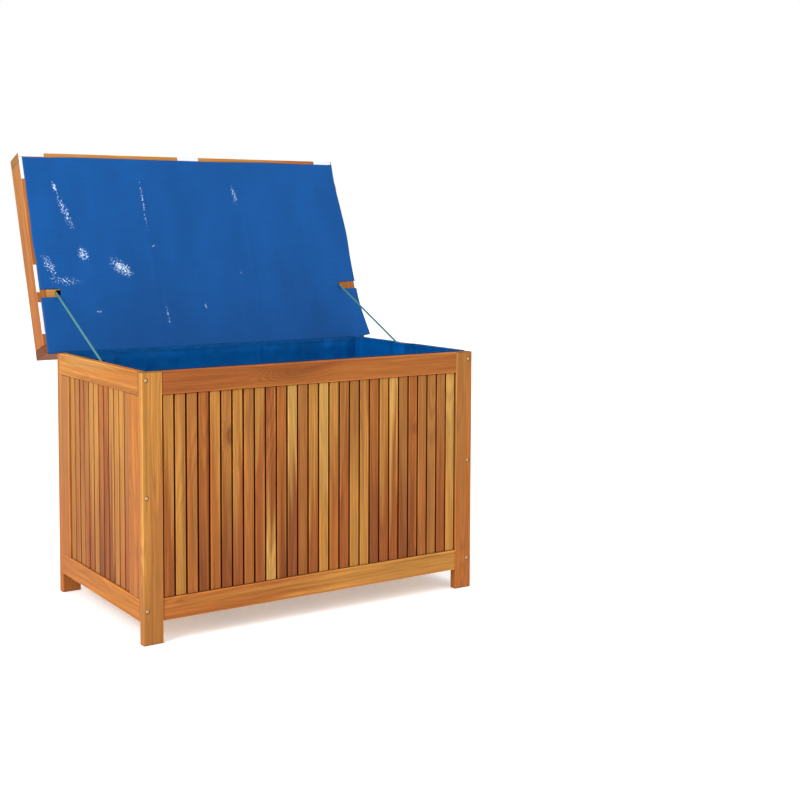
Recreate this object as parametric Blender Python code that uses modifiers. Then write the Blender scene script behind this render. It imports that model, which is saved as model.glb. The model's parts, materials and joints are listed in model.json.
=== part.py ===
"""Slatted wooden deck storage box with a hinged lid, a blue liner bag and two lid cords.

Metres, +Z up. X runs along the box, -Y is the front. The lid stands open, leaning back on its cords.
The origin is on the ground, at the middle of the outline that the open box covers.
"""

import math

import bmesh
import bpy
from mathutils import Vector

# Body
LENGTH = 0.710
DEPTH = 0.400
HEIGHT = 0.472
BOARD = 0.015
POST_WIDTH = 0.038
LEG = 0.039
BOTTOM_RAIL = 0.039
TOP_RAIL = 0.040
STILE_WIDTH = 0.043
GAP = 0.0003

# Slat panels
SLAT_WIDTH = 0.0195
SLAT_THICK = 0.009
SLAT_RECESS = 0.0025
FRONT_SLATS = 28
SIDE_SLATS = 12
LID_SLATS = 32
CLEAT_THICK = 0.004
CLEAT_HEIGHT = 0.020
CLEAT_INSET = 0.05  # share of a slat's length
JOIN_OVERLAP = 0.001

# Floor, liner bag and cushion
LEDGER = 0.016
LEDGER_BOTTOM = 0.042
FLOOR_BOARDS = 4
FLOOR_BOARD_WIDTH = 0.140
FLOOR_BOARD_THICK = 0.010
LINER_CLEARANCE = 0.0008
LINER_THICK = 0.0008
LINER_BELOW_RIM = 0.0005
NOTCH_WIDTH = 0.018
NOTCH_DEPTH = 0.022
CUSHION_LENGTH = 0.650
CUSHION_DEPTH = 0.345
CUSHION_THICK = 0.030
CUSHION_EDGE = 0.008

# Lid
LID_LENGTH = 0.752
LID_DEPTH = 0.424
LID_HEIGHT = 0.050
LID_RAIL = 0.018
LID_GAP = 0.003
OPEN_ANGLE = math.radians(109.6)
BATTEN_WIDTH = 0.016
BATTEN_FROM_REAR = 0.124
TARP_THICK = 0.0008
TARP_MARGIN = {"left": 0.007, "right": 0.003, "front": 0.009, "rear": 0.001}
SLOT_INNER = 0.331
SLOT_WIDTH = 0.019
STRIP_THICK = 0.0012
FRONT_STRIPS = {"left": (-0.3757, -0.322), "middle": (-0.020, 0.030), "right": (0.327, 0.3730)}
SIDE_STRIPS = {
    "left": {"front": (0.0093, 0.057), "middle": (0.240, 0.297), "rear": (0.318, 0.383)},
    "right": {"front": (0.0093, 0.057), "rear": (0.318, 0.383)},
}

# Hinges
PIN_RADIUS = 0.0015
KNUCKLE_RADIUS = 0.0028
LEAF_LENGTH = 0.060
LEAF_HEIGHT = 0.026
LEAF_THICK = 0.0012
PIN_OVERHANG = 0.001
HINGE_X = 0.230
AXIS_BEHIND = 0.0035
AXIS_BELOW = 0.004

# Screws and cords
SCREW_RADIUS = 0.0036
SCREW_THICK = 0.0014
SCREW_RECESS = 0.0020
SCREW_FROM_EDGE = 0.0078
SCREW_HEIGHTS = {"bottom": 0.059, "middle": 0.256, "top": 0.458}
ANCHOR_RADIUS = 0.0055
ANCHOR_THICK = 0.0018
ANCHOR_BELOW_RIM = 0.012
CORD_RADIUS = 0.002
CORD_X = 0.3355
CORD_FOOT_Y = 0.203
CORD_STEPS = 14

# Worked out from the sizes above
AXIS_Y = DEPTH + AXIS_BEHIND
AXIS_Z = HEIGHT - AXIS_BELOW
LID_FLOOR = LID_GAP + AXIS_BELOW
LID_TOP = LID_FLOOR + LID_HEIGHT
LID_REAR = -AXIS_BEHIND
LID_FRONT = LID_REAR - LID_DEPTH
OPEN_DEPTH = AXIS_Y + LID_FRONT * math.cos(OPEN_ANGLE) + LID_TOP * math.sin(OPEN_ANGLE)
BATTEN_Y = LID_REAR - BATTEN_FROM_REAR

COLOURS = {
    "acacia": ((0.60, 0.27, 0.09), 0.50, 0.0),
    "acacia_dark": ((0.42, 0.17, 0.05), 0.55, 0.0),
    "hidden_wood": ((0.55, 0.34, 0.17), 0.70, 0.0),
    "blue_tarp": ((0.02, 0.10, 0.34), 0.38, 0.0),
    "white_strip": ((0.85, 0.85, 0.83), 0.80, 0.0),
    "green_cord": ((0.08, 0.42, 0.22), 0.65, 0.0),
    "zinc": ((0.62, 0.63, 0.64), 0.35, 1.0),
    "cream_fabric": ((0.84, 0.81, 0.71), 0.90, 0.0),
}


def material(name):
    made = bpy.data.materials.get(name)
    if made:
        return made
    colour, roughness, metallic = COLOURS[name]
    made = bpy.data.materials.new(name)
    made.use_nodes = True
    shader = made.node_tree.nodes["Principled BSDF"]
    shader.inputs["Base Color"].default_value = (*colour, 1.0)
    shader.inputs["Roughness"].default_value = roughness
    shader.inputs["Metallic"].default_value = metallic
    return made


def clear_scene():
    for old in list(bpy.data.objects):
        bpy.data.objects.remove(old, do_unlink=True)


def collection(name):
    made = bpy.data.collections.new(name)
    bpy.context.scene.collection.children.link(made)
    return made


def empty(name, location, parent=None, angle=0.0):
    made = bpy.data.objects.new(name, None)
    made.location = location
    made.rotation_euler = (angle, 0.0, 0.0)
    made.parent = parent
    PARTS.objects.link(made)
    return made


def add_block(mesh, low, high):
    """Adds one closed box from corner low to corner high."""
    low, high = Vector(low), Vector(high)
    made = bmesh.ops.create_cube(mesh, size=1.0)["verts"]
    bmesh.ops.scale(mesh, vec=high - low, verts=made)
    bmesh.ops.translate(mesh, vec=(low + high) / 2, verts=made)


def add_rod(mesh, start, axis, radius, length, segments=16):
    """Adds one closed cylinder that runs from start along +X or +Y."""
    made = bmesh.ops.create_cone(
        mesh, cap_ends=True, segments=segments, radius1=radius, radius2=radius, depth=length
    )["verts"]
    turn = Vector((0, 0, 1)).rotation_difference(Vector(axis)).to_matrix()
    bmesh.ops.rotate(mesh, matrix=turn, verts=made)
    bmesh.ops.translate(mesh, vec=Vector(start) + Vector(axis) * length / 2, verts=made)


def finish_mesh(mesh, name, paint, parent, location=(0, 0, 0), helper=False):
    data = bpy.data.meshes.new(name)
    mesh.to_mesh(data)
    mesh.free()
    made = bpy.data.objects.new(name, data)
    made.location = location
    made.parent = parent
    if helper:
        made.hide_render = True
        made.display_type = "WIRE"
        CUTTERS.objects.link(made)
    else:
        data.materials.append(material(paint))
        PARTS.objects.link(made)
    return made


def board(name, low, high, parent, paint="acacia"):
    """A plain board from corner low to corner high, with its origin at its middle."""
    low, high = Vector(low), Vector(high)
    middle = (low + high) / 2
    mesh = bmesh.new()
    add_block(mesh, low - middle, high - middle)
    return finish_mesh(mesh, name, paint, parent, middle)


def combine(made, helper, operation):
    step = made.modifiers.new(operation.lower(), "BOOLEAN")
    step.operation = operation
    step.object = helper
    return made


def mirrored_pair(builder):
    """Calls builder(side_name, sign) for the left side and then the right one."""
    for side, sign in (("left", -1), ("right", 1)):
        builder(side, sign)


def span_x(sign, inner, outer):
    """The low and high X of a piece that lies from inner to outer on one side of the middle."""
    return sorted((sign * inner, sign * outer))


# ---------------------------------------------------------------- body frame


def screw_seats(name, x, box):
    """A cutter with one shallow round seat for each screw of a front post."""
    mesh = bmesh.new()
    for height in SCREW_HEIGHTS.values():
        add_rod(mesh, (x, -SCREW_RECESS, height), (0, 1, 0), SCREW_RADIUS + GAP, 2 * SCREW_RECESS)
    return finish_mesh(mesh, name, None, box, helper=True)


def build_corner(side, sign, box):
    """The two posts of one side, with the front post's screws."""
    outer = LENGTH / 2
    x0, x1 = span_x(sign, outer - POST_WIDTH, outer)
    front = board(f"post_front_{side}", (x0, 0, 0), (x1, BOARD, HEIGHT), box)
    board(f"post_rear_{side}", (x0, DEPTH - BOARD, 0), (x1, DEPTH, HEIGHT), box)
    screw_x = sign * (outer - SCREW_FROM_EDGE)
    combine(front, screw_seats(f"seats_{side}", screw_x, box), "DIFFERENCE")
    for place, height in SCREW_HEIGHTS.items():
        mesh = bmesh.new()
        add_rod(mesh, (0, 0, 0), (0, 1, 0), SCREW_RADIUS, SCREW_THICK)
        name = f"screw_{side}_{place}"
        finish_mesh(mesh, name, "zinc", box, (screw_x, GAP, height))


def build_long_side(name, y0, box):
    """The two rails between the posts of the front or the rear."""
    reach = LENGTH / 2 - POST_WIDTH - GAP
    y1 = y0 + BOARD
    board(f"{name}_bottom_rail", (-reach, y0, LEG), (reach, y1, LEG + BOTTOM_RAIL), box)
    board(f"{name}_top_rail", (-reach, y0, HEIGHT - TOP_RAIL), (reach, y1, HEIGHT), box)


def build_short_side(side, sign, box):
    """The rails and stiles of one end, held between the front and rear posts."""
    x0, x1 = span_x(sign, LENGTH / 2 - BOARD, LENGTH / 2)
    y0, y1 = BOARD + GAP, DEPTH - BOARD - GAP
    low, high = LEG + BOTTOM_RAIL + GAP, HEIGHT - TOP_RAIL - GAP
    board(f"{side}_bottom_rail", (x0, y0, LEG), (x1, y1, LEG + BOTTOM_RAIL), box)
    board(f"{side}_top_rail", (x0, y0, HEIGHT - TOP_RAIL), (x1, y1, HEIGHT), box)
    board(f"{side}_front_stile", (x0, y0, low), (x1, BOARD + STILE_WIDTH, high), box)
    board(f"{side}_rear_stile", (x0, DEPTH - BOARD - STILE_WIDTH, low), (x1, y1, high), box)


# --------------------------------------------------------------- slat panels


def slat_starts(opening, count, width):
    """Where each slat starts, with one equal gap before, between and after them."""
    gap = (opening - count * width) / (count + 1)
    return [gap + i * (width + gap) for i in range(count)]


def slat_panel(name, opening, length, count, outer, parent, place):
    """Slats on two cleats. place(u, v, w) turns along, across and depth into X, Y, Z."""
    slats, cleats = bmesh.new(), bmesh.new()
    back = outer + SLAT_THICK
    for start in slat_starts(opening, count, SLAT_WIDTH):
        a = place(start, GAP, outer)
        b = place(start + SLAT_WIDTH, length - GAP, back)
        add_block(slats, *corners(a, b))
    inset = CLEAT_INSET * length
    for edge in (inset, length - inset - CLEAT_HEIGHT):
        a = place(GAP, edge, back - JOIN_OVERLAP)
        b = place(opening - GAP, edge + CLEAT_HEIGHT, back + CLEAT_THICK - JOIN_OVERLAP)
        add_block(cleats, *corners(a, b))
    panel = finish_mesh(slats, name, "acacia_dark", parent)
    strips = finish_mesh(cleats, f"{name}_cleats", None, parent, helper=True)
    return combine(panel, strips, "UNION")


def corners(a, b):
    """The lowest and the highest corner of the box between two points."""
    return [min(p) for p in zip(a, b)], [max(p) for p in zip(a, b)]


def build_body_panels(box):
    foot = LEG + BOTTOM_RAIL
    tall = HEIGHT - TOP_RAIL - foot
    left = -LENGTH / 2 + POST_WIDTH
    wide = LENGTH - 2 * POST_WIDTH
    near = BOARD + STILE_WIDTH
    deep = DEPTH - 2 * near

    def front(u, v, w):
        return (left + u, w, foot + v)

    def rear(u, v, w):
        return (left + u, DEPTH - w, foot + v)

    def left_end(u, v, w):
        return (-LENGTH / 2 + w, near + u, foot + v)

    def right_end(u, v, w):
        return (LENGTH / 2 - w, near + u, foot + v)

    slat_panel("front_slats", wide, tall, FRONT_SLATS, SLAT_RECESS, box, front)
    slat_panel("rear_slats", wide, tall, FRONT_SLATS, SLAT_RECESS, box, rear)
    slat_panel("left_slats", deep, tall, SIDE_SLATS, SLAT_RECESS, box, left_end)
    slat_panel("right_slats", deep, tall, SIDE_SLATS, SLAT_RECESS, box, right_end)


# ---------------------------------------------------- floor, liner, cushion


def build_floor(box):
    """Two ledgers on the long bottom rails, and the boards that lie across them."""
    reach = LENGTH / 2 - BOARD - GAP
    near, far = BOARD + GAP, DEPTH - BOARD - GAP
    top = LEDGER_BOTTOM + LEDGER
    for name, y in (("ledger_front", near), ("ledger_rear", far - LEDGER)):
        board(name, (-reach, y, LEDGER_BOTTOM), (reach, y + LEDGER, top), box, "hidden_wood")
    low = top + GAP
    for i, start in enumerate(slat_starts(2 * reach, FLOOR_BOARDS, FLOOR_BOARD_WIDTH)):
        x0 = start - reach
        corner = (x0 + FLOOR_BOARD_WIDTH, far, low + FLOOR_BOARD_THICK)
        board(f"floor_board_{i + 1}", (x0, near, low), corner, box, "hidden_wood")
    return low + FLOOR_BOARD_THICK + GAP


def build_liner(floor_z, box):
    """A thin open-topped bag, notched at the rim where each lid cord is fixed."""
    half = LENGTH / 2 - BOARD - LINER_CLEARANCE
    near = BOARD + LINER_CLEARANCE
    top = HEIGHT - LINER_BELOW_RIM
    mesh = bmesh.new()
    add_block(mesh, (-half, near, floor_z), (half, DEPTH - near, top))
    lid_face = max(mesh.faces, key=lambda f: f.calc_center_median().z)
    bmesh.ops.delete(mesh, geom=[lid_face], context="FACES_ONLY")
    liner = finish_mesh(mesh, "liner_bag", "blue_tarp", box)
    skin = liner.modifiers.new("skin", "SOLIDIFY")
    skin.thickness = LINER_THICK
    skin.offset = -1.0
    skin.use_even_offset = True
    notches = bmesh.new()
    low = (-LENGTH / 2, CORD_FOOT_Y - NOTCH_WIDTH / 2, HEIGHT - NOTCH_DEPTH)
    high = (LENGTH / 2, CORD_FOOT_Y + NOTCH_WIDTH / 2, HEIGHT + NOTCH_DEPTH)
    add_block(notches, low, high)
    combine(liner, finish_mesh(notches, "liner_notches", None, box, helper=True), "DIFFERENCE")
    return floor_z + LINER_THICK


def build_cushion(floor_z, box):
    """The seat cushion, kept flat on the liner's floor."""
    half = Vector((CUSHION_LENGTH, CUSHION_DEPTH, CUSHION_THICK)) / 2
    mesh = bmesh.new()
    add_block(mesh, -half, half)
    cushion = finish_mesh(
        mesh, "cushion", "cream_fabric", box, (0, DEPTH / 2, floor_z + GAP + half.z)
    )
    soft = cushion.modifiers.new("soft edges", "BEVEL")
    soft.width = CUSHION_EDGE
    soft.segments = 2


# ----------------------------------------------------------------------- lid


def build_lid_frame(lid):
    half = LID_LENGTH / 2
    z0, z1 = LID_FLOOR, LID_TOP
    inner = half - LID_RAIL
    board("lid_front_rail", (-half, LID_FRONT, z0), (half, LID_FRONT + LID_RAIL, z1), lid)
    board("lid_rear_rail", (-half, LID_REAR - LID_RAIL, z0), (half, LID_REAR, z1), lid)
    y0, y1 = LID_FRONT + LID_RAIL + GAP, LID_REAR - LID_RAIL - GAP

    def end_rail(side, sign):
        x0, x1 = span_x(sign, inner, half)
        board(f"lid_{side}_rail", (x0, y0, z0), (x1, y1, z1), lid)

    mirrored_pair(end_rail)
    wide = 2 * inner
    deep = y1 - y0 + 2 * GAP

    def on_top(u, v, w):
        return (-inner + u, y0 - GAP + v, z1 - w)

    slat_panel("lid_slats", wide, deep, LID_SLATS, 0.0, lid, on_top)
    under = z1 - SLAT_THICK - CLEAT_THICK
    reach = inner - GAP
    mirror = LID_FRONT + BATTEN_FROM_REAR
    for name, y in (("lid_cord_batten", BATTEN_Y), ("lid_front_batten", mirror)):
        low = (-reach, y - BATTEN_WIDTH / 2, z0)
        high = (reach, y + BATTEN_WIDTH / 2, under)
        board(name, low, high, lid)


def build_tarp(lid):
    """The blue sheet across the lid's underside, slotted where the cord batten shows."""
    half = LID_LENGTH / 2
    margin = TARP_MARGIN
    top = LID_FLOOR - GAP
    mesh = bmesh.new()
    low = (-half + margin["left"], LID_FRONT + margin["front"], top - TARP_THICK)
    add_block(mesh, low, (half - margin["right"], LID_REAR - margin["rear"], top))
    tarp = finish_mesh(mesh, "lid_tarp", "blue_tarp", lid)
    slots = bmesh.new()
    for sign in (-1, 1):
        x0, x1 = span_x(sign, SLOT_INNER, half + GAP)
        y0, y1 = BATTEN_Y - SLOT_WIDTH / 2, BATTEN_Y + SLOT_WIDTH / 2
        add_block(slots, (x0, y0, top - 2 * TARP_THICK), (x1, y1, top + TARP_THICK))
    combine(tarp, finish_mesh(slots, "tarp_slots", None, lid, helper=True), "DIFFERENCE")


def build_strips(lid):
    """Short hook-and-loop strips in the band between the tarp's edge and the lid's edge."""
    half = LID_LENGTH / 2
    top = LID_FLOOR - GAP
    low_z = top - STRIP_THICK
    front_edge = LID_FRONT + TARP_MARGIN["front"] - GAP
    for name, (x0, x1) in FRONT_STRIPS.items():
        low = (x0, LID_FRONT + GAP, low_z)
        board(f"strip_front_{name}", low, (x1, front_edge, top), lid, "white_strip")
    for side, sign in (("left", -1), ("right", 1)):
        x0, x1 = span_x(sign, half - TARP_MARGIN[side] + GAP, half - GAP)
        for name, (near, far) in SIDE_STRIPS[side].items():
            low = (x0, LID_FRONT + near, low_z)
            board(f"strip_{side}_{name}", low, (x1, LID_FRONT + far, top), lid, "white_strip")


# ------------------------------------------------------------ hinges, cords


def build_hinge(side, sign, box, lid):
    """A butt hinge: a leaf on the rear top rail, a leaf on the lid's rear rail, and the pin."""
    x0 = sign * HINGE_X - LEAF_LENGTH / 2
    third = LEAF_LENGTH / 3

    def knuckles(mesh, starts, centre):
        for start in starts:
            add_rod(mesh, (x0 + start + GAP, *centre), (1, 0, 0), KNUCKLE_RADIUS, third - 2 * GAP)

    def leaf(name, plate_low, plate_high, starts, centre, parent):
        plate = bmesh.new()
        add_block(plate, (x0, *plate_low), (x0 + LEAF_LENGTH, *plate_high))
        made = finish_mesh(plate, name, "zinc", parent)
        rolled = bmesh.new()
        knuckles(rolled, starts, centre)
        combine(made, finish_mesh(rolled, f"{name}_knuckles", None, parent, helper=True), "UNION")
        free = [s for s in (0, third, 2 * third) if s not in starts]
        room = bmesh.new()
        for start in free:
            add_rod(room, (x0 + start, *centre), (1, 0, 0), KNUCKLE_RADIUS + 2 * GAP, third)
        combine(made, finish_mesh(room, f"{name}_room", None, parent, helper=True), "DIFFERENCE")
        bore = bmesh.new()
        start = (x0 - third, *centre)
        add_rod(bore, start, (1, 0, 0), PIN_RADIUS + GAP, LEAF_LENGTH + 2 * third)
        combine(made, finish_mesh(bore, f"{name}_bore", None, parent, helper=True), "DIFFERENCE")

    face = DEPTH + GAP
    low, high = (face, HEIGHT - LEAF_HEIGHT), (face + LEAF_THICK, AXIS_Z - GAP)
    leaf(f"hinge_{side}_body_leaf", low, high, (0, 2 * third), (AXIS_Y, AXIS_Z), box)
    face = LID_REAR + GAP
    low, high = (face, GAP), (face + LEAF_THICK, LID_FLOOR + LEAF_HEIGHT)
    leaf(f"hinge_{side}_lid_leaf", low, high, (third,), (0.0, 0.0), lid)
    mesh = bmesh.new()
    add_rod(mesh, (0, 0, 0), (1, 0, 0), PIN_RADIUS, LEAF_LENGTH + 2 * PIN_OVERHANG)
    place = (x0 - PIN_OVERHANG, AXIS_Y, AXIS_Z)
    finish_mesh(mesh, f"hinge_{side}_pin", "zinc", box, place)


def open_point(y, z):
    """Where a point of the lid's own frame lies in the box's frame when the lid is open."""
    c, s = math.cos(OPEN_ANGLE), math.sin(OPEN_ANGLE)
    return (AXIS_Y + y * c + z * s, AXIS_Z - y * s + z * c)


def build_cord(side, sign, box):
    """A taut cord from the screw under the rim up to the lid's cord batten, and that screw."""
    x = sign * CORD_X
    foot = Vector((x, CORD_FOOT_Y, HEIGHT - ANCHOR_BELOW_RIM))
    head = Vector((x, *open_point(BATTEN_Y, LID_FLOOR - 2 * GAP)))
    along = (head - foot).normalized()
    head -= along * CORD_RADIUS
    line = bpy.data.curves.new(f"cord_{side}", "CURVE")
    line.dimensions = "3D"
    line.bevel_depth = CORD_RADIUS
    line.bevel_resolution = 2
    line.use_fill_caps = True
    route = line.splines.new("POLY")
    route.points.add(CORD_STEPS)
    for i, point in enumerate(route.points):
        point.co = (*foot.lerp(head, i / CORD_STEPS), 1.0)
    line.materials.append(material("green_cord"))
    cord = bpy.data.objects.new(f"cord_{side}", line)
    cord.parent = box
    PARTS.objects.link(cord)
    wall = sign * (LENGTH / 2 - BOARD - GAP)
    start = wall if sign < 0 else wall - ANCHOR_THICK
    mesh = bmesh.new()
    add_rod(mesh, (0, 0, 0), (1, 0, 0), ANCHOR_RADIUS, ANCHOR_THICK)
    finish_mesh(mesh, f"cord_anchor_{side}", "zinc", box, (start, foot.y, foot.z))


clear_scene()
PARTS = collection("deck_storage_box")
CUTTERS = collection("cutters")
CUTTERS.hide_render = True

BOX = empty("box_frame", (0, -OPEN_DEPTH / 2, 0))
LID = empty("lid_frame", (0, AXIS_Y, AXIS_Z), BOX, -OPEN_ANGLE)

mirrored_pair(lambda side, sign: build_corner(side, sign, BOX))
build_long_side("front", 0.0, BOX)
build_long_side("rear", DEPTH - BOARD, BOX)
mirrored_pair(lambda side, sign: build_short_side(side, sign, BOX))
build_body_panels(BOX)
cushion_floor = build_liner(build_floor(BOX), BOX)
build_cushion(cushion_floor, BOX)
build_lid_frame(LID)
build_tarp(LID)
build_strips(LID)
mirrored_pair(lambda side, sign: build_hinge(side, sign, BOX, LID))
mirrored_pair(lambda side, sign: build_cord(side, sign, BOX))
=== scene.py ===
"""Looks of the slatted deck storage box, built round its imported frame.

Everything is in metres, in the frame's own axes: +Z up, -Y the slatted front. The lid's pieces are built
flat, as in the closed lid, in axes on the hinge, and turned by LID_TURN to where the lid stands open.
"""

import json
import math
import random

import bmesh
import bpy
import numpy as np
from mathutils import Matrix, Vector, noise

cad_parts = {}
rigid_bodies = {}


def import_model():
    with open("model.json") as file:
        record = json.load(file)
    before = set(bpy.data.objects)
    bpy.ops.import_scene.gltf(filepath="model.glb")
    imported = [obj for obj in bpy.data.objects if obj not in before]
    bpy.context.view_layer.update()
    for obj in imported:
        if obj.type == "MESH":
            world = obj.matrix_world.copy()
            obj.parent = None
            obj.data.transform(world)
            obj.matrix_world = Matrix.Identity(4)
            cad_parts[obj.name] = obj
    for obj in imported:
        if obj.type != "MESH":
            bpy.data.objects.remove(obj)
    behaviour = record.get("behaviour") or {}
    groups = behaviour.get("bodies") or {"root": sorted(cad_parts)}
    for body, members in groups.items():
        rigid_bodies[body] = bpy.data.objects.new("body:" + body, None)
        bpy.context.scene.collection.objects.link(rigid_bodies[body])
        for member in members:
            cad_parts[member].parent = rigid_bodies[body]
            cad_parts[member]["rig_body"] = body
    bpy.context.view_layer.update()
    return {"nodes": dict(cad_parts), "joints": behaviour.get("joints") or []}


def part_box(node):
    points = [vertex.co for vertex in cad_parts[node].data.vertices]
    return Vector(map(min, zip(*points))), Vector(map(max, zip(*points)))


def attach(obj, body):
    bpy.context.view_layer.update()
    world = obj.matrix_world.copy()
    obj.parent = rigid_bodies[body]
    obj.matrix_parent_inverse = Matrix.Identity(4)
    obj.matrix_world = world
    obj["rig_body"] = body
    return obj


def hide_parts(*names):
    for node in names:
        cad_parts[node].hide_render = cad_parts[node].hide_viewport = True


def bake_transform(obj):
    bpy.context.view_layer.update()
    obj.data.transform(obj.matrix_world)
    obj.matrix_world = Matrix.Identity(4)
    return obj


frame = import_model()

NODES = frame["nodes"]
HINGE = next(joint for joint in frame["joints"] if joint["name"] == "lid_hinge")
OPEN_ANGLE = math.radians(max(HINGE["range_deg"]))
LID_TURN = Matrix.Translation(HINGE["pos_m"]) @ Matrix.Rotation(-OPEN_ANGLE, 4, "X")
TURNS = {"box": Matrix.Identity(4), "lid": LID_TURN, "cushion": Matrix.Identity(4)}
X, Y, Z = 0, 1, 2
SIDES = (("left", -1), ("right", 1))


# ---- places


def body_of(node):
    return NODES[node]["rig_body"]


def local_box(node):
    """Lowest and highest corner of a CAD node, in the lid's closed axes if it is part of the lid."""
    back = TURNS[body_of(node)].inverted()
    points = np.array([back @ vertex.co for vertex in NODES[node].data.vertices])
    return points.min(0), points.max(0)


def middle_of(node):
    low, high = local_box(node)
    return (low + high) / 2


# ---- colours


def linear(red, green, blue):
    """A colour given in 0 to 255 display values, as the renderer's linear values."""

    def channel(value):
        value /= 255
        return value / 12.92 if value <= 0.04045 else ((value + 0.055) / 1.055) ** 2.4

    return (channel(red), channel(green), channel(blue), 1.0)


WOOD_TONES = {
    "y": linear(190, 143, 74),
    "h": linear(178, 122, 57),
    "t": linear(161, 104, 50),
    "a": linear(171, 105, 40),
    "o": linear(161, 95, 43),
    "r": linear(148, 82, 38),
    "b": linear(132, 72, 35),
}
GAP_SHADE_BROWN = linear(78, 32, 10)
DARK_HEART = linear(76, 36, 14)
BLUE_SHEET = linear(7, 75, 141)
LINER_BLUE = linear(1, 82, 150)
WHITE_TAPE = linear(222, 223, 231)
CREAM = linear(240, 236, 216)


# ---- materials


class Paint:
    """One node material. An input is a number, a colour or another node's output."""

    def __init__(self, name):
        self.material = bpy.data.materials.new(name)
        self.material.use_nodes = True
        self.tree = self.material.node_tree
        self.tree.nodes.clear()
        self.shader = self.tree.nodes.new("ShaderNodeBsdfPrincipled")
        output = self.tree.nodes.new("ShaderNodeOutputMaterial")
        self.tree.links.new(self.shader.outputs[0], output.inputs[0])

    def put(self, socket, value):
        if isinstance(value, bpy.types.NodeSocket):
            self.tree.links.new(value, socket)
        else:
            socket.default_value = value

    def set(self, **inputs):
        """Sets the shader's inputs, with a space for each underscore in a name."""
        for name, value in inputs.items():
            self.put(self.shader.inputs[name.replace("_", " ")], value)

    def node(self, kind, inputs, **settings):
        made = self.tree.nodes.new("ShaderNode" + kind)
        for name, value in settings.items():
            setattr(made, name, value)
        for key, value in inputs.items():
            self.put(made.inputs[key], value)
        return made

    def attribute(self, name, output="Vector"):
        return self.node("Attribute", {}, attribute_name=name).outputs[output]

    def math(self, operation, a, b=0.0):
        return self.node("Math", {0: a, 1: b}, operation=operation).outputs[0]

    def times(self, a, b):
        return self.math("MULTIPLY", a, b)

    def plus(self, a, b):
        return self.math("ADD", a, b)

    def minus(self, a, b):
        return self.math("SUBTRACT", a, b)

    def scaled(self, vector, factors):
        return self.node("VectorMath", {0: vector, 1: factors}, operation="MULTIPLY").outputs[0]

    def moved(self, vector, offset):
        return self.node("VectorMath", {0: vector, 1: offset}, operation="ADD").outputs[0]

    def length(self, vector):
        return self.node("VectorMath", {0: vector}, operation="LENGTH").outputs["Value"]

    def parts(self, vector):
        return self.node("SeparateXYZ", {0: vector}).outputs

    def joined(self, x, y, z):
        return self.node("CombineXYZ", {0: x, 1: y, 2: z}).outputs[0]

    def noise(self, vector, scale=1.0, detail=2.0, roughness=0.5):
        """scale is one number, or one for each axis."""
        if isinstance(scale, tuple):
            vector, scale = self.scaled(vector, scale), 1.0
        inputs = {"Vector": vector, "Scale": scale, "Detail": detail, "Roughness": roughness}
        return self.node("TexNoise", inputs).outputs[0]

    def step(self, value, start, end, low=0.0, high=1.0):
        """Rises smoothly from low to high as value goes from start to end."""
        inputs = {0: value, 1: start, 2: end, 3: low, 4: high}
        return self.node("MapRange", inputs, interpolation_type="SMOOTHSTEP").outputs[0]

    def mix(self, factor, a, b, blend="MIX"):
        inputs = {0: factor, 6: a, 7: b}
        return self.node("Mix", inputs, data_type="RGBA", blend_type=blend).outputs[2]

    def shaded(self, colour, factor):
        """The colour, darker or lighter by factor."""
        if not isinstance(colour, bpy.types.NodeSocket):
            colour = colour[:3]
        return self.node("VectorMath", {0: colour, "Scale": factor}, operation="SCALE").outputs[0]

    def bump(self, height, distance, strength=1.0):
        inputs = {"Height": height, "Distance": distance, "Strength": strength}
        self.put(self.shader.inputs["Normal"], self.node("Bump", inputs).outputs[0])


def knot_pull(paint, along, across):
    """1 at the middle of the board's knot, 0 away from it."""
    knot_x, knot_y, size = paint.parts(paint.attribute("knot"))
    aside = paint.joined(paint.times(paint.minus(along, knot_x), 0.45), paint.minus(across, knot_y), 0.0)
    reach = paint.math("MAXIMUM", paint.times(size, 0.016), 0.0001)
    return paint.step(paint.math("DIVIDE", paint.length(aside), reach), 1.0, 0.0)


def edge_tones_and_painted_light(paint, colour, gaps, gap_shade, highlight_and_wear):
    """End grain darker; edges lighter, partly wear and partly a painted highlight; painted shade on slat side
    faces and inside holes. gaps are the distances to the board's faces.
    """
    end_gap, side_gap, face_gap = gaps
    end_grain = paint.step(end_gap, 0.0022, 0.0004)
    colour = paint.shaded(colour, paint.minus(1.0, paint.times(end_grain, 0.38)))
    # Lighter edges: partly wear, partly a painted highlight where the edges catch the light.
    arris = paint.times(paint.step(side_gap, 0.0024, 0.0), paint.step(face_gap, 0.0016, 0.0))
    colour = paint.shaded(colour, paint.plus(1.0, paint.times(arris, highlight_and_wear)))
    if gap_shade:
        # Painted shade: side faces deep in the slat gaps are mixed toward dark brown.
        on_side = paint.times(paint.step(side_gap, 0.0005, 0.0001), paint.step(face_gap, 0.0008, 0.0020))
        colour = paint.mix(paint.times(on_side, gap_shade), colour, GAP_SHADE_BROWN)
    # Painted shade: far from every face, inside a hole, the wood is painted nearly black.
    nearest = paint.math("MINIMUM", paint.math("MINIMUM", side_gap, face_gap), end_gap)
    return paint.shaded(colour, paint.step(nearest, 0.0004, 0.0016, 1.0, 0.12)), end_grain


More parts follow.
